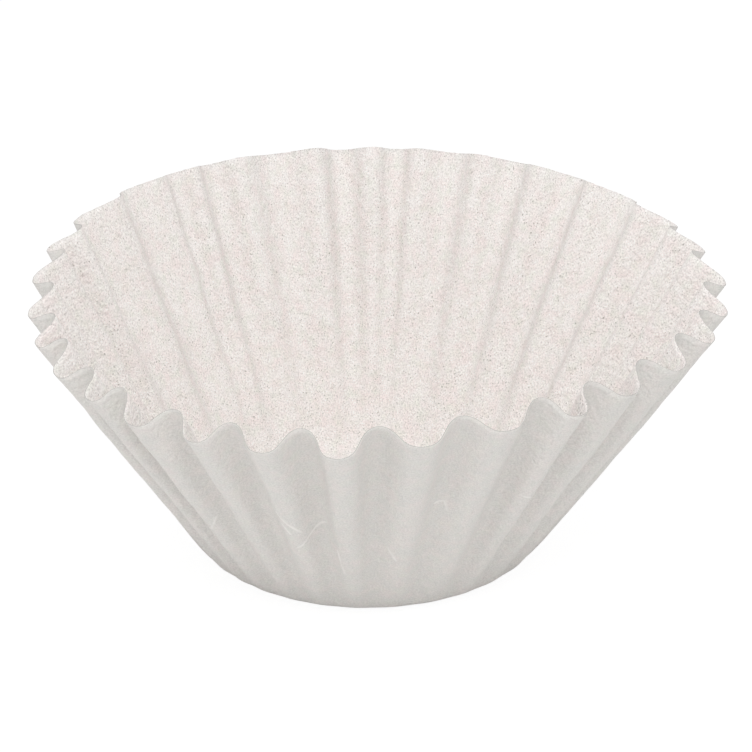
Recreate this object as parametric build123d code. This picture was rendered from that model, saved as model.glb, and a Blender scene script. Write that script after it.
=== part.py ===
from build123d import *
import os
from math import cos, pi, radians, sin, sqrt, tan

# Paper basket coffee filter: a flat disc of filter paper pressed into a cup
# with a plain round floor and a fluted, flaring side.  One sheet, no joint.
# Origin: centre of the floor, on its underside.  +Z up, -Y is the front.
# Millimetres and degrees; azimuths run from the front, positive to the right.

# overall sizes
flat_radius = 108.0       # the disc of paper before it is pressed
base_radius = 37.5        # where the straight side would meet the table
wall_angle = 61.0         # slope of the side above the table
corner_radius = 5.0       # soft turn from the floor up into the side
paper_thickness = 0.15

# flutes
flute_count = 31
flute_fullness = 0.82     # 1 = the flutes take up all the spare paper of the disc
lobe_roundness = 0.04     # makes the outer lobes wider than the inner crests
flute_fade = 14.0         # the flutes die away over this length above the floor
first_crest = 2.5         # azimuth of the first inner crest

# Hand-pressed flutes are uneven.  In order from the first crest round to the right:
# share of the circle, height of the crest the flute starts from, height of its lobe.
flutes = [
    (12.5, 1.0, 0.8), (12.5, 1.0, 0.75), (10, 1.0, 1.0), (12, 1.0, 0.9), (12, 1.0, 0.95), (11, 1.0, 0.95),
    (11.5, 0.95, 0.95), (13, 0.95, 1.05), (11, 0.9, 0.85), (11, 0.85, 0.8), (13, 0.8, 0.75),
    (12.5, 0.8, 0.7), (12.5, 0.75, 0.65), (13, 0.7, 0.6), (9, 0.5, 0.6), (11.5, 0.6, 0.9),
    (16, 0.95, 0.5), (11, 0.7, 0.6), (7.5, 0.7, 0.3), (15, 0.3, 0.7), (17.5, 0.8, 0.8),
    (10, 0.9, 0.8), (14, 0.9, 0.9), (10.5, 0.9, 0.9), (8.5, 0.9, 0.95), (10.5, 0.9, 1.05),
    (8, 0.95, 0.9), (11, 1.0, 1.05), (9.5, 1.0, 0.85), (11.5, 1.0, 0.9), (11.5, 1.05, 1.15),
]

# The side leans out further at the front, and the mouth is not quite round:
# each pair is how many degrees the side leans out, and at which azimuth.
lean_angle, lean_azimuth = 3.4, 21.0
oval_angle, oval_azimuth = 1.3, -19.0
corners_angle, corners_azimuth = 1.5, -37.0

# how finely the side is drawn
points_per_flute = 6
corner_rings = 3
straight_rings = [0.07, 0.2, 0.42, 0.7, 1.0]     # fractions of the straight part of the side

# derived sizes
floor_radius = base_radius - corner_radius * tan(radians(wall_angle) / 2)
corner_length = corner_radius * radians(wall_angle)
straight_length = flat_radius - floor_radius - corner_length


def side_slope(azimuth):
    """Slope of the side above the table at an azimuth, in radians."""
    lean = lean_angle * cos(radians(azimuth - lean_azimuth))
    oval = oval_angle * cos(2 * radians(azimuth - oval_azimuth))
    corners = corners_angle * cos(3 * radians(azimuth - corners_azimuth))
    return radians(wall_angle - lean - oval - corners)


def flute(index):
    """Share of the circle, starting crest and lobe of one flute."""
    return flutes[index % flute_count % len(flutes)]


def flute_edges():
    """Azimuth of every inner crest, with the first one repeated a full turn later."""
    total = sum(flute(index)[0] for index in range(flute_count))
    edges = [first_crest]
    for index in range(flute_count):
        edges.append(edges[-1] + 360 * flute(index)[0] / total)
    return edges


def flute_wave(index, place):
    """Height across the width of a flute: down to its two crests, up to its lobe."""
    near, far = flute(index)[1], flute(index + 1)[1]
    crest = -near - (far - near) * (1 - cos(pi * place)) / 2
    swell = (1 - cos(2 * pi * place)) / 2 + lobe_roundness * (1 - cos(4 * pi * place))
    return crest + swell * (flute(index)[2] - crest)


def cone_point(along, azimuth):
    """Radius, height and slope of the plain side at a distance along the paper."""
    slope = side_slope(azimuth)
    bend = corner_length / slope
    turn = min(along / bend, slope)
    straight = max(along - corner_length, 0)
    radius = floor_radius + bend * sin(turn) + straight * cos(slope)
    height = bend * (1 - cos(turn)) + straight * sin(slope)
    return radius, height, turn


def flute_height(along, azimuth):
    """Height of a full flute above the plain side: flutes take up the paper that the cone cannot."""
    radius = cone_point(along, azimuth)[0]
    spare = (floor_radius + along) / radius - 1
    slope = 2 * sqrt(max(spare, 0)) * (1 + 0.42 * spare)
    grown = min(along / flute_fade, 1)
    return flute_fullness * slope * radius / flute_count * grown * grown * (3 - 2 * grown)


def flute_sway(index, steepness, place):
    """Sideways shift, as a share of the flute's width, that rounds its crests and its lobe."""
    half_depth = (flute(index)[1] + flute(index)[2]) / 2
    bulge = (pi * half_depth * steepness) ** 2
    return bulge / (1 + 0.27 * bulge) * sin(4 * pi * place) / (4 * pi)


def paper_point(along, index, place, edges):
    """Middle of the paper, at a place across one flute and a distance along it."""
    width = edges[index + 1] - edges[index]
    azimuth = edges[index] + place * width
    radius, height, turn = cone_point(along, azimuth)
    depth = flute_height(along, azimuth)
    rise = depth * flute_wave(index, place)
    azimuth += width * flute_sway(index, depth / (radius * radians(width)), place)
    radius += rise * sin(turn)
    height -= rise * cos(turn)
    return Vector(radius * sin(radians(azimuth)), -radius * cos(radians(azimuth)), height)


def paper_normal(along, index, place, edges):
    """Outward unit normal of the paper."""
    step = 0.01
    across = paper_point(along, index, place + step, edges) - paper_point(along, index, place - step, edges)
    up = paper_point(along + step, index, place, edges) - paper_point(along - step, index, place, edges)
    return across.cross(up).normalized()


def face_point(along, side, index, place, edges):
    """Point on one face of the paper; side is +1 outside and -1 inside."""
    middle = paper_point(along, index, place, edges) + Vector(0, 0, paper_thickness / 2)
    return middle + paper_normal(along, index, place, edges) * (side * paper_thickness / 2)


def floor_point(side, index, place, edges):
    """Point on the edge of the flat floor, on one face of the paper."""
    azimuth = radians(edges[index] + place * (edges[index + 1] - edges[index]))
    height = paper_thickness * (1 - side) / 2
    return Vector(floor_radius * sin(azimuth), -floor_radius * cos(azimuth), height)


def flute_curve(points, edges, index):
    """One flute's stretch of a ring, level at the crests so that neighbours meet smoothly."""
    ends = [radians(edges[index]), radians(edges[index + 1])]
    tangents = [Vector(cos(azimuth), sin(azimuth), 0) for azimuth in ends]
    return Edge.make_spline(points, tangents=tangents)


def ring(point, side, edges):
    """Closed ring of flute curves; point gives a place on the ring."""
    crests = [point(side, index, 0, edges) for index in range(flute_count)]
    curves = []
    for index in range(flute_count):
        places = [step / points_per_flute for step in range(1, points_per_flute)]
        inner = [point(side, index, place, edges) for place in places]
        points = [crests[index]] + inner + [crests[(index + 1) % flute_count]]
        curves.append(flute_curve(points, edges, index))
    return Wire(curves)


def ring_at(along, side, edges):
    """Ring on one face of the paper at a distance along it from the floor's edge."""
    def point(face, index, place, crests):
        return face_point(along, face, index, place, crests)

    return ring(point, side, edges)


def side_rings(side, edges):
    """Rings of one face of the side: first the bend above the floor, then the straight part."""
    bend_places = [corner_length * (i + 1) / corner_rings for i in range(corner_rings)]
    straight_places = [corner_length + fraction * straight_length for fraction in straight_rings]
    bend = [ring(floor_point, side, edges)] + [ring_at(along, side, edges) for along in bend_places]
    straight = [bend[-1]] + [ring_at(along, side, edges) for along in straight_places]
    return bend, straight


def band(rings):
    """Smooth faces, one for each flute, through a stack of rings."""
    return list(Shell.make_loft(rings).faces())


def filter_paper():
    """The whole sheet as one closed solid."""
    edges = flute_edges()
    outer_bend, outer_straight = side_rings(1, edges)
    inner_bend, inner_straight = side_rings(-1, edges)
    faces = band(outer_bend) + band(outer_straight) + band(inner_bend) + band(inner_straight)
    rim = zip(outer_straight[-1].edges(), inner_straight[-1].edges())
    faces += [Face.make_surface_from_curves(outer, inner) for outer, inner in rim]
    faces += [Face(outer_bend[0]), Face(inner_bend[0])]
    return Solid(Shell(faces))


os.makedirs("parts", exist_ok=True)
paper = filter_paper()
export_step(paper, "parts/filter_paper.step")
print("filter_paper", round(paper.volume, 1), "mm3", paper.bounding_box().size)
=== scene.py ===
# Paper basket coffee filter: a flat disc of paper is pressed into a fluted cup by a
# Geometry Nodes tree, then shown in soft light on a plain white floor.
import math
import bpy
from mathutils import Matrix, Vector
from mathutils.bvhtree import BVHTree


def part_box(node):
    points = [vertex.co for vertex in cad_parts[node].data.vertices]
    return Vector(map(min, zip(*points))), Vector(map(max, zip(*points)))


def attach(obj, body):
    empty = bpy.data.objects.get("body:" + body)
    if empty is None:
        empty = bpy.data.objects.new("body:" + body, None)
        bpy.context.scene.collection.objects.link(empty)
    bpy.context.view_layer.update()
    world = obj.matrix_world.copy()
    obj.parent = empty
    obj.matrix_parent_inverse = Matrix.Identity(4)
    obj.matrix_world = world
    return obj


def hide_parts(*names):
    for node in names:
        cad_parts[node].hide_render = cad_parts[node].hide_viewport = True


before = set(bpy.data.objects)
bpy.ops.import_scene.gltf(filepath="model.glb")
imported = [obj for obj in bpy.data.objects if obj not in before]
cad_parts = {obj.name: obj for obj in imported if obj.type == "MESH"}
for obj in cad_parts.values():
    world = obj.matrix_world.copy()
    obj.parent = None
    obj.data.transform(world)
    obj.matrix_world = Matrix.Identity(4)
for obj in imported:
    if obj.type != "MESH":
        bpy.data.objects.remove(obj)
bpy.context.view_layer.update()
print("frame loaded")

# metres and degrees throughout; azimuths run from the front to the right
paper = {
    "flatRadius": 0.108,          # the disc before it is pressed
    "floorRadius": 0.03455,       # edge of the flat floor
    "leastRadius": 0.001,         # keeps a division safe in the middle of the floor
    "cornerRadius": 0.005,        # soft turn from the floor into the side
    "thickness": 0.00015,
    "weld": 0.000002,             # points closer than this become one
    "wallAngle": 61.0,
    "bulges": [(1, 3.4, 21.0), (2, 1.3, -19.0), (3, 1.5, -37.0)],  # times round, how far out, where
    "fullness": 0.82,             # share of the spare paper that the flutes take up
    "fluteFade": 0.009,           # flutes die away this far above the floor
    "lobeRoundness": 0.04,        # lobes wider than crests
    "steepening": 0.42,           # corrects a flute's steepness where there is much spare paper
    "rounding": 0.27,             # limits how round the deepest flutes get
    "columnsPerFlute": 20,
    "sideRings": 66,
    "floorRings": 5,
    "ringCrowding": 1.25,         # above 1, rings stand closer together near the floor
    "buckle": 0.0007,             # slow waves in the side
    "buckleSize": 0.022,
    "crinkle": 0.00016,           # small ones
    "crinkleSize": 0.004,
    "wander": 0.016,              # how far a flute strays sideways on its way up, in radians
    "wanderSize": 0.03,
    "wanderSeed": 5.0,            # added to the seed, so that flutes stray apart from the buckles
    "growth": 30.0,               # per metre from the floor's edge, until all three are full
    "fray": 0.0003,               # how uneven the cut edge is
    "fraySize": 0.0012,
    "frayBand": 0.001,            # only this much of the edge is frayed
    "seed": 7,
}


def sideSlope(azimuth):
    out = sum(size * math.cos(times * (azimuth - math.radians(at))) for times, size, at in paper["bulges"])
    return math.radians(paper["wallAngle"] - out)


# the plain side at a height: its radius, the flat sheet's radius there, and a full flute's depth
def plainSide(azimuth, height):
    slope = sideSlope(azimuth)
    cornerLength = paper["cornerRadius"] * math.radians(paper["wallAngle"])
    bend = cornerLength / slope
    climb = height - bend * (1 - math.cos(slope))
    radius = paper["floorRadius"] + bend * math.sin(slope) + climb / math.tan(slope)
    reach = paper["floorRadius"] + cornerLength + climb / math.sin(slope)
    spare = reach / radius - 1
    steep = 2 * math.sqrt(spare) * (1 + paper["steepening"] * spare)
    return radius, reach, paper["fullness"] * steep * radius


# inner radius of the built part; a ray that slips between two triangles is cast again just above
def innerRadius(tree, angle, height, tries=20, lift=0.00002):
    outward = Vector((math.sin(angle), -math.cos(angle), 0))
    for n in range(tries):
        hit = tree.ray_cast(Vector((0, 0, height + n * lift)), outward)[0]
        if hit:
            return hit.xy.length
    return plainSide(angle, height)[0]


# looks outward from the axis at one height, and finds each flute's crest and lobe on the built part
def readFlutes(node, samples=1440, level=0.8, near=7):
    tree = BVHTree.FromObject(node, bpy.context.evaluated_depsgraph_get())
    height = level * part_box("filter_paper")[1][2]
    gaps = []
    for i in range(samples):
        angle = math.tau * i / samples
        gaps.append(innerRadius(tree, angle, height) - plainSide(angle, height)[0])
    crests = []
    for i, gap in enumerate(gaps):
        if gap == min(gaps[(i + k) % samples] for k in range(-near, near + 1)):
            crests.append(i)
    found = []
    for n, crest in enumerate(crests):
        width = (crests[(n + 1) % len(crests)] - crest) % samples
        angle = math.tau * crest / samples
        depth = plainSide(angle, height)[2] / len(crests) / math.sin(sideSlope(angle))
        lobe = max(gaps[(crest + k) % samples] for k in range(width))
        found.append({
            "start": angle,
            "width": math.tau * width / samples,
            "crest": -gaps[crest] / depth,
            "lobe": lobe / depth,
        })
    return found


flutes = readFlutes(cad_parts["filter_paper"])
print("flutes read:", len(flutes))


# height across a flute: down to its two crests, up to its lobe
def fluteWave(number, place):
    flute, following = flutes[number], flutes[(number + 1) % len(flutes)]
    crest = -flute["crest"] - (following["crest"] - flute["crest"]) * (1 - math.cos(math.pi * place)) / 2
    swell = (1 - math.cos(math.tau * place)) / 2
    swell += paper["lobeRoundness"] * (1 - math.cos(2 * math.tau * place))
    return crest + swell * (flute["lobe"] - crest)


# one column of the sheet, with what the tree needs to know of its flute
def sheetColumn(number, place):
    flute = flutes[number]
    azimuth = flute["start"] + place * flute["width"]
    return {
        "azimuth": azimuth,
        "wave": fluteWave(number, place),
        "slope": sideSlope(azimuth),
        "steep": math.pi * (flute["crest"] + flute["lobe"]) / 2 / flute["width"],
        "sway": flute["width"] * math.sin(2 * math.tau * place) / (2 * math.tau),
    }


# rings and columns of the sheet before it is pressed
def flatDisc():
    steps = paper["columnsPerFlute"]
    columns = [sheetColumn(number, step / steps) for number in range(len(flutes)) for step in range(steps)]
    sideLength = paper["flatRadius"] - paper["floorRadius"]
    radii = [paper["floorRadius"] * (i + 1) / paper["floorRings"] for i in range(paper["floorRings"])]
    rings = paper["sideRings"]
    shares = [((i + 1) / rings) ** paper["ringCrowding"] for i in range(rings)]
    radii += [paper["floorRadius"] + sideLength * share for share in shares]
    points = [(0, 0, 0)]
    for radius in radii:
        points += [(radius * math.sin(c["azimuth"]), -radius * math.cos(c["azimuth"]), 0) for c in columns]
    count = len(columns)
    faces = [(0, 1 + i, 1 + (i + 1) % count) for i in range(count)]
    for ring in range(len(radii) - 1):
        low, high = 1 + ring * count, 1 + (ring + 1) * count
        for i in range(count):
            j = (i + 1) % count
            faces.append((low + i, high + i, high + j, low + j))
    mesh = bpy.data.meshes.new("flatDisc")
    mesh.from_pydata(points, [], faces)
    for name in ("wave", "slope", "steep", "sway"):
        values = [columns[0][name]] + [c[name] for c in columns] * len(radii)
        mesh.attributes.new(name, "FLOAT", "POINT").data.foreach_set("value", values)
    disc = bpy.data.objects.new("filterPaper", mesh)
    bpy.context.scene.collection.objects.link(disc)
    return disc


# small helpers for node trees: a number or vector goes in as a value, a socket as a link
def connect(tree, value, socket):
    if isinstance(value, bpy.types.NodeSocket):
        tree.links.new(value, socket)
    else:
        socket.default_value = value


def mathNode(tree, operation, *values):
    node = tree.nodes.new("ShaderNodeMath")
    node.operation = operation
    for value, socket in zip(values, node.inputs):
        connect(tree, value, socket)
    return node.outputs[0]


def product(tree, *values):
    total = values[0]
    for value in values[1:]:
        total = mathNode(tree, "MULTIPLY", total, value)
    return total


def clamped(tree, value):
    return mathNode(tree, "MAXIMUM", mathNode(tree, "MINIMUM", value, 1.0), 0.0)


def vectorNode(tree, operation, *values):
    node = tree.nodes.new("ShaderNodeVectorMath")
    node.operation = operation
    for value, socket in zip(values, node.inputs):
        connect(tree, value, socket)
    return node


def named(tree, name):
    node = tree.nodes.new("GeometryNodeInputNamedAttribute")
    node.inputs["Name"].default_value = name
    return node.outputs["Attribute"]


def keep(tree, geometry, name, kind, domain, value):
    node = tree.nodes.new("GeometryNodeStoreNamedAttribute")
    node.data_type, node.domain = kind, domain
    node.inputs["Name"].default_value = name
    tree.links.new(geometry, node.inputs["Geometry"])
    tree.links.new(value, node.inputs["Value"])
    return node.outputs[0]


# noise about zero, from -0.5 to 0.5, with features of the given size
def noise(tree, vector, size, seed, detail=2.0):
    node = tree.nodes.new("ShaderNodeTexNoise")
    node.noise_dimensions = "4D"
    connect(tree, vector, node.inputs["Vector"])
    connect(tree, seed, node.inputs["W"])
    node.inputs["Scale"].default_value = 1 / size
    node.inputs["Detail"].default_value = detail
    return mathNode(tree, "SUBTRACT", node.outputs[0], 0.5)


# where each point of the flat sheet goes once it is pressed
def pressedPlace(tree, given):
    place = tree.nodes.new("GeometryNodeInputPosition").outputs[0]
    parts = tree.nodes.new("ShaderNodeSeparateXYZ")
    tree.links.new(place, parts.inputs[0])
    reach = vectorNode(tree, "LENGTH", place).outputs["Value"]
    # the cut edge is a little frayed: only a narrow band of it moves
    bandStart = mathNode(tree, "SUBTRACT", given["Flat Radius"], paper["frayBand"])
    nearRim = mathNode(tree, "SUBTRACT", reach, bandStart)
    nearRim = mathNode(tree, "MAXIMUM", product(tree, nearRim, 1 / paper["frayBand"]), 0.0)
    frayed = noise(tree, place, paper["fraySize"], given["Seed"])
    reach = mathNode(tree, "ADD", reach, product(tree, nearRim, frayed, given["Fray"]))
    # the plain sheet: flat floor, bend, straight side
    along = mathNode(tree, "MAXIMUM", mathNode(tree, "SUBTRACT", reach, given["Floor Radius"]), 0.0)
    inFloor = mathNode(tree, "MINIMUM", reach, given["Floor Radius"])
    slope = named(tree, "slope")
    cornerLength = product(tree, given["Corner Radius"], math.radians(paper["wallAngle"]))
    bend = mathNode(tree, "DIVIDE", cornerLength, slope)
    turn = mathNode(tree, "MINIMUM", mathNode(tree, "DIVIDE", along, bend), slope)
    straight = mathNode(tree, "MAXIMUM", mathNode(tree, "SUBTRACT", along, cornerLength), 0.0)
    sine, cosine = mathNode(tree, "SINE", turn), mathNode(tree, "COSINE", turn)
    radius = mathNode(tree, "ADD", inFloor, product(tree, bend, sine))
    radius = mathNode(tree, "ADD", radius, product(tree, straight, mathNode(tree, "COSINE", slope)))
    height = product(tree, bend, mathNode(tree, "SUBTRACT", 1.0, cosine))
    height = mathNode(tree, "ADD", height, product(tree, straight, mathNode(tree, "SINE", slope)))
    # flutes take up the paper that the cone has no room for
    safeRadius = mathNode(tree, "MAXIMUM", radius, paper["leastRadius"])
    spare = mathNode(tree, "SUBTRACT", mathNode(tree, "DIVIDE", reach, safeRadius), 1.0)
    spare = mathNode(tree, "MAXIMUM", spare, 0.0)
    steeper = mathNode(tree, "MULTIPLY_ADD", spare, paper["steepening"], 1.0)
    steep = product(tree, mathNode(tree, "SQRT", spare), 2.0, steeper)
    grown = mathNode(tree, "MINIMUM", mathNode(tree, "DIVIDE", along, given["Fade"]), 1.0)
    eased = product(tree, grown, grown, mathNode(tree, "MULTIPLY_ADD", grown, -2.0, 3.0))
    ratio = mathNode(tree, "DIVIDE", product(tree, steep, given["Fullness"], eased), given["Flutes"])
    rise = product(tree, ratio, radius, named(tree, "wave"))
    # a deep flute is rounder than a plain wave: its sides stand closer together
    bulge = product(tree, ratio, named(tree, "steep"))
    bulge = product(tree, bulge, bulge)
    bulge = mathNode(tree, "DIVIDE", bulge, mathNode(tree, "MULTIPLY_ADD", bulge, paper["rounding"], 1.0))
    sway = product(tree, named(tree, "sway"), bulge)
    # slow buckles, fine crinkles and straying flutes grow from nothing at the floor
    grown = mathNode(tree, "MINIMUM", product(tree, along, paper["growth"]), 1.0)
    buckle = noise(tree, place, paper["buckleSize"], given["Seed"], 1.0)
    buckle = product(tree, buckle, given["Buckle"])
    crinkle = noise(tree, place, paper["crinkleSize"], given["Seed"])
    crinkle = product(tree, crinkle, given["Crinkle"])
    rough = product(tree, mathNode(tree, "ADD", buckle, crinkle), 2.0, grown)
    rise = mathNode(tree, "ADD", rise, rough)
    wanderSeed = mathNode(tree, "ADD", given["Seed"], paper["wanderSeed"])
    strayed = noise(tree, place, paper["wanderSize"], wanderSeed, 0.0)
    sway = mathNode(tree, "ADD", sway, product(tree, strayed, given["Wander"], grown))
    radius = mathNode(tree, "ADD", radius, product(tree, rise, sine))
    height = mathNode(tree, "SUBTRACT", height, product(tree, rise, cosine))
    angle = mathNode(tree, "ARCTAN2", parts.outputs["X"], product(tree, parts.outputs["Y"], -1.0))
    angle = mathNode(tree, "ADD", angle, sway)
    joined = tree.nodes.new("ShaderNodeCombineXYZ")
    tree.links.new(product(tree, radius, mathNode(tree, "SINE", angle)), joined.inputs["X"])
    tree.links.new(product(tree, radius, mathNode(tree, "COSINE", angle), -1.0), joined.inputs["Y"])
    tree.links.new(height, joined.inputs["Z"])
    return place, joined.outputs[0]


# presses the flat disc into the cup, then gives the sheet its thickness
def pressingTree(material):
    tree = bpy.data.node_groups.new("pressPaper", "GeometryNodeTree")
    tree.interface.new_socket("Geometry", in_out="INPUT", socket_type="NodeSocketGeometry")
    tree.interface.new_socket("Geometry", in_out="OUTPUT", socket_type="NodeSocketGeometry")
    for name in pressSizes():
        tree.interface.new_socket(name, in_out="INPUT", socket_type="NodeSocketFloat")
    given = tree.nodes.new("NodeGroupInput").outputs
    place, pressedTo = pressedPlace(tree, given)
    flat = keep(tree, given["Geometry"], "flat", "FLOAT_VECTOR", "POINT", place)
    pressed = tree.nodes.new("GeometryNodeSetPosition")
    tree.links.new(flat, pressed.inputs["Geometry"])
    tree.links.new(pressedTo, pressed.inputs["Position"])
    # the inner face is the pressed one lifted by the thickness, the outer one is turned over
    lifted = tree.nodes.new("GeometryNodeExtrudeMesh")
    lifted.mode = "FACES"
    lifted.inputs["Individual"].default_value = False
    tree.links.new(pressed.outputs[0], lifted.inputs["Mesh"])
    tree.links.new(given["Thickness"], lifted.inputs["Offset Scale"])
    marked = keep(tree, lifted.outputs["Mesh"], "inner", "FLOAT", "FACE", lifted.outputs["Top"])
    marked = keep(tree, marked, "cutEdge", "FLOAT", "FACE", lifted.outputs["Side"])
    turned = tree.nodes.new("GeometryNodeFlipFaces")
    tree.links.new(pressed.outputs[0], turned.inputs[0])
    both = tree.nodes.new("GeometryNodeJoinGeometry")
    tree.links.new(marked, both.inputs[0])
    tree.links.new(turned.outputs[0], both.inputs[0])
    welded = tree.nodes.new("GeometryNodeMergeByDistance")
    welded.inputs["Distance"].default_value = paper["weld"]
    tree.links.new(both.outputs[0], welded.inputs["Geometry"])
    smooth = tree.nodes.new("GeometryNodeSetShadeSmooth")
    tree.links.new(welded.outputs[0], smooth.inputs["Geometry"])
    crisp = tree.nodes.new("GeometryNodeSetShadeSmooth")
    crisp.inputs["Shade Smooth"].default_value = False
    tree.links.new(smooth.outputs[0], crisp.inputs["Geometry"])
    tree.links.new(mathNode(tree, "GREATER_THAN", named(tree, "cutEdge"), 0.5), crisp.inputs["Selection"])
    real = tree.nodes.new("GeometryNodeRealizeInstances")
    tree.links.new(crisp.outputs[0], real.inputs[0])
    finish = tree.nodes.new("GeometryNodeSetMaterial")
    finish.inputs["Material"].default_value = material
    tree.links.new(real.outputs[0], finish.inputs["Geometry"])
    tree.links.new(finish.outputs[0], tree.nodes.new("NodeGroupOutput").inputs[0])
    return tree


def pressSizes():
    return {
        "Floor Radius": paper["floorRadius"], "Corner Radius": paper["cornerRadius"],
        "Flat Radius": paper["flatRadius"], "Thickness": paper["thickness"],
        "Fullness": paper["fullness"], "Flutes": float(len(flutes)), "Fade": paper["fluteFade"],
        "Buckle": paper["buckle"], "Crinkle": paper["crinkle"], "Wander": paper["wander"],
        "Fray": paper["fray"], "Seed": float(paper["seed"]),
    }


# runs the tree on the disc and keeps the plain mesh it makes
def press(disc, tree):
    modifier = disc.modifiers.new("press", "NODES")
    modifier.node_group = tree
    sizes = pressSizes()
    for item in tree.interface.items_tree:
        if item.in_out == "INPUT" and item.name in sizes:
            modifier[item.identifier] = sizes[item.name]
    seen = disc.evaluated_get(bpy.context.evaluated_depsgraph_get())
    mesh = bpy.data.meshes.new_from_object(seen)
    disc.modifiers.remove(modifier)
    disc.data = mesh


surface = {
    "inside": (0.96, 0.932, 0.92, 1),
    # the same paper as the inside, made darker: painted shade on the outer face
    "outside": (0.80, 0.786, 0.768, 1),
    "blush": (0.93, 0.83, 0.82, 1),       # pinkish clouds
    "moss": (0.83, 0.85, 0.78, 1),        # greenish ones
    "fleck": (0.36, 0.34, 0.31, 1),
    "edge": (0.55, 0.54, 0.52, 1),        # painted shade: the cut edge is darkened so it doesn't show as a lit line
    "foldHighlight": (0.97, 0.95, 0.93, 1),        # painted highlight on the top of a crease
    "cloudInside": 0.55,
    "cloudOutside": 0.30,
    "cloudGain": 4.0,
    "blushStart": 0.35,
    "mossStart": 0.15,
    "grainInside": 0.95,                  # how much the fine grain lightens and darkens
    "grainOutside": 0.40,
    "fleckInside": 1.0,
    "fleckOutside": 0.15,
    "fleckGain": 7.0,
    "fleckStart": -0.55,
    "clusterGain": 3.0,                   # flecks come in loose clusters
    "clusterStart": 0.75,
    "glow": 0.12,                         # light let through the sheet
    "roughness": 0.95,
    "specular": 0.15,
    "wrinkle": 0.0006,                    # height of the fine leathery wrinkles
    "creaseWidth": 0.0005,
    "creaseHeight": 0.00012,
    "creaseHighlight": 0.9,                    # how fully a crease takes the painted highlight
}
# patterns on the flat sheet: size of their features, seed and detail
patterns = {
    "blush": (0.003, 2.0, 3.0),
    "moss": (0.003, 9.0, 3.0),
    "grain": (0.0004, 1.0, 1.0),
    "fleck": (0.00045, 4.0, 2.0),
    "cluster": (0.006, 6.0, 2.0),
    "ragged": (0.0015, 4.0, 2.0),
    "wrinkle": (0.0011, 3.0, 3.0),
}
# short creases pressed into the side: azimuth and height of each point along them
creases = [
    [(-39.5, 0.0240), (-35.5, 0.0250), (-33.0, 0.0285)],
    [(-18.0, 0.0400), (-16.0, 0.0350), (-13.5, 0.0305)],
    [(-15.0, 0.0250), (-12.5, 0.0275), (-9.0, 0.0305)],
    [(-16.5, 0.0330), (-15.5, 0.0300)],
    [(-6.5, 0.0240), (-5.5, 0.0160)],
    [(4.5, 0.0235), (6.5, 0.0200)],
    [(13.5, 0.0350), (15.2, 0.0352), (16.0, 0.0330)],
    [(31.0, 0.0365), (38.0, 0.0330)],
]


def shaderTree(name):
    material = bpy.data.materials.new(name)
    material.use_nodes = True
    tree = material.node_tree
    tree.nodes.clear()
    return material, tree, tree.nodes.new("ShaderNodeOutputMaterial")


def attribute(tree, name, output):
    node = tree.nodes.new("ShaderNodeAttribute")
    node.attribute_name = name
    return node.outputs[output]


# colours go into a mix node at sockets 6 and 7 and come out at 2
def mixColor(tree, factor, first, second):
    node = tree.nodes.new("ShaderNodeMix")
    node.data_type = "RGBA"
    connect(tree, factor, node.inputs["Factor"])
    connect(tree, first, node.inputs[6])
    connect(tree, second, node.inputs[7])
    return node.outputs[2]


def bump(tree, height, distance, normal=None):
    node = tree.nodes.new("ShaderNodeBump")
    node.inputs["Distance"].default_value = distance
    tree.links.new(height, node.inputs["Height"])
    if normal:
        tree.links.new(normal, node.inputs["Normal"])
    return node.outputs[0]


# a value that is one thing on the outer face and another on the inner
def bySide(tree, side, outer, inner):
    return mathNode(tree, "MULTIPLY_ADD", side, inner - outer, outer)


def pattern(tree, flat, name):
    return noise(tree, flat, *patterns[name])


# a pattern made stronger and cut off at 0 and 1; start sets how much of it shows
def stronger(tree, value, gain, start):
    return clamped(tree, mathNode(tree, "MULTIPLY_ADD", value, gain, start))


# place on the flat sheet of a point given by azimuth and height
def sheetPoint(azimuth, height):
    angle = math.radians(azimuth)
    reach = plainSide(angle, height)[1]
    return Vector((reach * math.sin(angle), -reach * math.cos(angle), 0))


# how far a point of the sheet is from the nearest crease
def creaseDistance(tree, flat):
    nearest = None
    for crease in creases:
        points = [sheetPoint(*point) for point in crease]
        for start, end in zip(points, points[1:]):
            run = end - start
            offset = vectorNode(tree, "SUBTRACT", flat, start).outputs["Vector"]
            part = vectorNode(tree, "DOT_PRODUCT", offset, run / run.length_squared).outputs["Value"]
            scaled = vectorNode(tree, "SCALE", run)
            tree.links.new(clamped(tree, part), scaled.inputs["Scale"])
            away = vectorNode(tree, "DISTANCE", offset, scaled.outputs["Vector"]).outputs["Value"]
            nearest = away if nearest is None else mathNode(tree, "MINIMUM", nearest, away)
    return nearest
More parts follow.
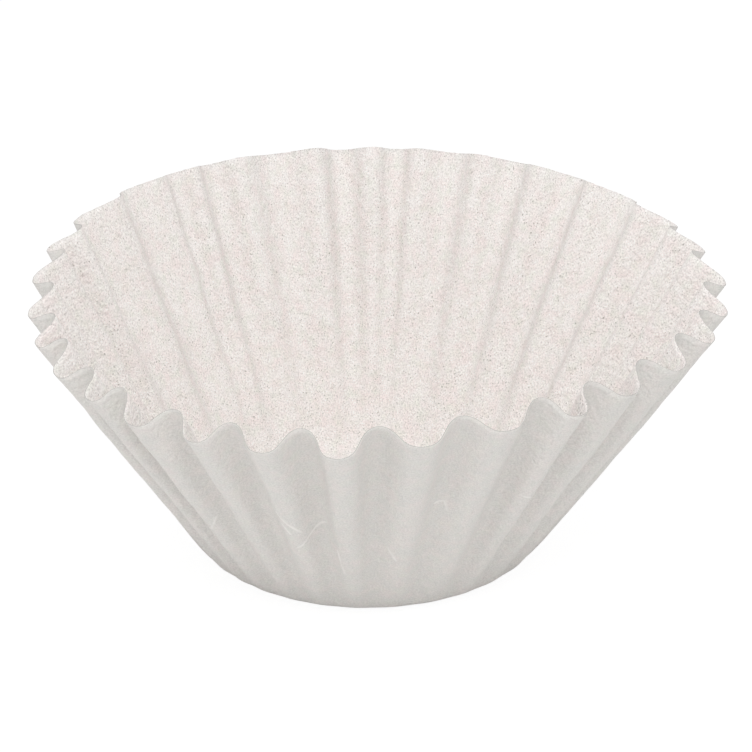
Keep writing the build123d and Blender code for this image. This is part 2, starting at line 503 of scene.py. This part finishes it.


# bleached filter paper: flecks and clouds inside, fine wrinkles and a few creases outside, with painted
# shade on the outer face and cut edge and a painted highlight on the crease tops
def paperMaterial():
    material, tree, output = shaderTree("filterPaper")
    flat = attribute(tree, "flat", "Vector")
    side = attribute(tree, "inner", "Fac")
    edge = attribute(tree, "cutEdge", "Fac")
    # painted shade: the outer face takes the darker copy of the paper's colour
    base = mixColor(tree, side, surface["outside"], surface["inside"])
    clouds = bySide(tree, side, surface["cloudOutside"], surface["cloudInside"])
    for tint in ("blush", "moss"):
        cloud = pattern(tree, flat, tint)
        cloud = stronger(tree, cloud, surface["cloudGain"], surface[tint + "Start"])
        base = mixColor(tree, product(tree, cloud, clouds), base, surface[tint])
    # fine grain works both ways, flecks only darken
    grain = pattern(tree, flat, "grain")
    grain = product(tree, grain, bySide(tree, side, surface["grainOutside"], surface["grainInside"]))
    bright = tree.nodes.new("ShaderNodeCombineXYZ")
    for socket in bright.inputs:
        tree.links.new(mathNode(tree, "ADD", grain, 1.0), socket)
    base = vectorNode(tree, "MULTIPLY", base, bright.outputs[0]).outputs["Vector"]
    fleck = pattern(tree, flat, "fleck")
    fleck = stronger(tree, fleck, surface["fleckGain"], surface["fleckStart"])
    cluster = pattern(tree, flat, "cluster")
    cluster = stronger(tree, cluster, surface["clusterGain"], surface["clusterStart"])
    flecks = bySide(tree, side, surface["fleckOutside"], surface["fleckInside"])
    fleck = product(tree, fleck, cluster, flecks)
    base = mixColor(tree, fleck, base, surface["fleck"])
    # creases are narrow ragged ridges, seen on the outer face
    ragged = product(tree, pattern(tree, flat, "ragged"), surface["creaseWidth"])
    away = mathNode(tree, "ABSOLUTE", mathNode(tree, "ADD", creaseDistance(tree, flat), ragged))
    ridge = mathNode(tree, "SUBTRACT", 1.0, mathNode(tree, "DIVIDE", away, surface["creaseWidth"]))
    ridge = product(tree, clamped(tree, ridge), mathNode(tree, "SUBTRACT", 1.0, side))
    # painted highlight: crease tops are lightened as if lit, while the bump below gives their real relief
    base = mixColor(tree, product(tree, ridge, surface["creaseHighlight"]), base, surface["foldHighlight"])
    # painted shade on the cut edge
    base = mixColor(tree, edge, base, surface["edge"])
    wrinkled = bump(tree, pattern(tree, flat, "wrinkle"), surface["wrinkle"])
    creased = bump(tree, ridge, surface["creaseHeight"], wrinkled)
    shader = tree.nodes.new("ShaderNodeBsdfPrincipled")
    shader.inputs["Roughness"].default_value = surface["roughness"]
    shader.inputs["Specular IOR Level"].default_value = surface["specular"]
    tree.links.new(base, shader.inputs["Base Color"])
    tree.links.new(creased, shader.inputs["Normal"])
    through = tree.nodes.new("ShaderNodeBsdfTranslucent")
    tree.links.new(base, through.inputs["Color"])
    blend = tree.nodes.new("ShaderNodeMixShader")
    blend.inputs["Fac"].default_value = surface["glow"]
    tree.links.new(shader.outputs[0], blend.inputs[1])
    tree.links.new(through.outputs[0], blend.inputs[2])
    tree.links.new(blend.outputs[0], output.inputs["Surface"])
    return material


studio = {
    "skyStrength": 0.75,
    "skyColor": (0.995, 1.0, 0.99, 1),
    "floorSize": 4.0,
    "floorColor": (0.92, 0.92, 0.92, 1),
    "floorWhite": 1.07,                   # how bright the floor is to the camera alone
    "floorShare": 0.87,                   # share of that white, the rest shows the shadow
    "aim": (0.0, 0.0, 0.03),
}
lamps = {
    "key": {"place": (0.02, -0.44, 0.72), "size": 0.30, "watts": 2.5, "color": (1.0, 0.975, 0.955)},
    "fill": {"place": (-0.75, -0.60, 0.14), "size": 0.30, "watts": 0.35, "color": (1.0, 0.975, 0.955)},
}
shot = {
    "elevation": 26.4,
    "distance": 0.6106,
    "lens": 133.6,
    "target": (0.0, 0.0, 0.0287),
    "shift": (0.0105, 0.0464),
}


# white to the camera, but still holding a soft shadow
def floorMaterial():
    material, tree, output = shaderTree("whiteFloor")
    matte = tree.nodes.new("ShaderNodeBsdfDiffuse")
    matte.inputs["Color"].default_value = studio["floorColor"]
    white = tree.nodes.new("ShaderNodeEmission")
    white.inputs["Strength"].default_value = studio["floorWhite"]
    path = tree.nodes.new("ShaderNodeLightPath")
    blend = tree.nodes.new("ShaderNodeMixShader")
    tree.links.new(product(tree, path.outputs["Is Camera Ray"], studio["floorShare"]), blend.inputs["Fac"])
    tree.links.new(matte.outputs[0], blend.inputs[1])
    tree.links.new(white.outputs[0], blend.inputs[2])
    tree.links.new(blend.outputs[0], output.inputs["Surface"])
    return material


def makeFloor():
    mesh = bpy.data.meshes.new("floor")
    size = studio["floorSize"]
    mesh.from_pydata([(-size, -size, 0), (size, -size, 0), (size, size, 0), (-size, size, 0)],
                     [], [(0, 1, 2, 3)])
    mesh.materials.append(floorMaterial())
    floor = bpy.data.objects.new("floor", mesh)
    bpy.context.scene.collection.objects.link(floor)
    return floor


# the sky lights the paper softly from all round, and is plain white to the camera
def makeWorld():
    world = bpy.data.worlds.new("studio")
    bpy.context.scene.world = world
    world.use_nodes = True
    tree = world.node_tree
    sky = tree.nodes["Background"]
    sky.inputs["Color"].default_value = studio["skyColor"]
    sky.inputs["Strength"].default_value = studio["skyStrength"]
    white = tree.nodes.new("ShaderNodeBackground")
    white.inputs["Color"].default_value = (1, 1, 1, 1)
    path = tree.nodes.new("ShaderNodeLightPath")
    blend = tree.nodes.new("ShaderNodeMixShader")
    tree.links.new(path.outputs["Is Camera Ray"], blend.inputs["Fac"])
    tree.links.new(sky.outputs[0], blend.inputs[1])
    tree.links.new(white.outputs[0], blend.inputs[2])
    tree.links.new(blend.outputs[0], tree.nodes["World Output"].inputs["Surface"])


def makeLamp(name, lamp):
    light = bpy.data.lights.new(name, "AREA")
    light.energy = lamp["watts"]
    light.color = lamp["color"]
    light.shape = "DISK"
    light.size = lamp["size"]
    piece = bpy.data.objects.new(name, light)
    piece.location = lamp["place"]
    aim = Vector(studio["aim"]) - Vector(lamp["place"])
    piece.rotation_euler = aim.to_track_quat("-Z", "Y").to_euler()
    bpy.context.scene.collection.objects.link(piece)


def makeCamera():
    camera = bpy.data.objects.new("camera", bpy.data.cameras.new("camera"))
    bpy.context.scene.collection.objects.link(camera)
    bpy.context.scene.camera = camera
    camera.data.lens = shot["lens"]
    camera.data.shift_x, camera.data.shift_y = shot["shift"]
    rise = math.radians(shot["elevation"])
    back = Vector((0, -math.cos(rise), math.sin(rise)))
    camera.location = Vector(shot["target"]) + back * shot["distance"]
    camera.rotation_euler = (-back).to_track_quat("-Z", "Y").to_euler()


filterPaper = flatDisc()
press(filterPaper, pressingTree(paperMaterial()))
print("paper pressed:", len(filterPaper.data.polygons), "faces")

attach(filterPaper, "root")
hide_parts("filter_paper")

makeFloor()
makeWorld()
for name, lamp in lamps.items():
    makeLamp(name, lamp)
makeCamera()
bpy.context.scene.view_settings.view_transform = "Standard"
print("scene lit")
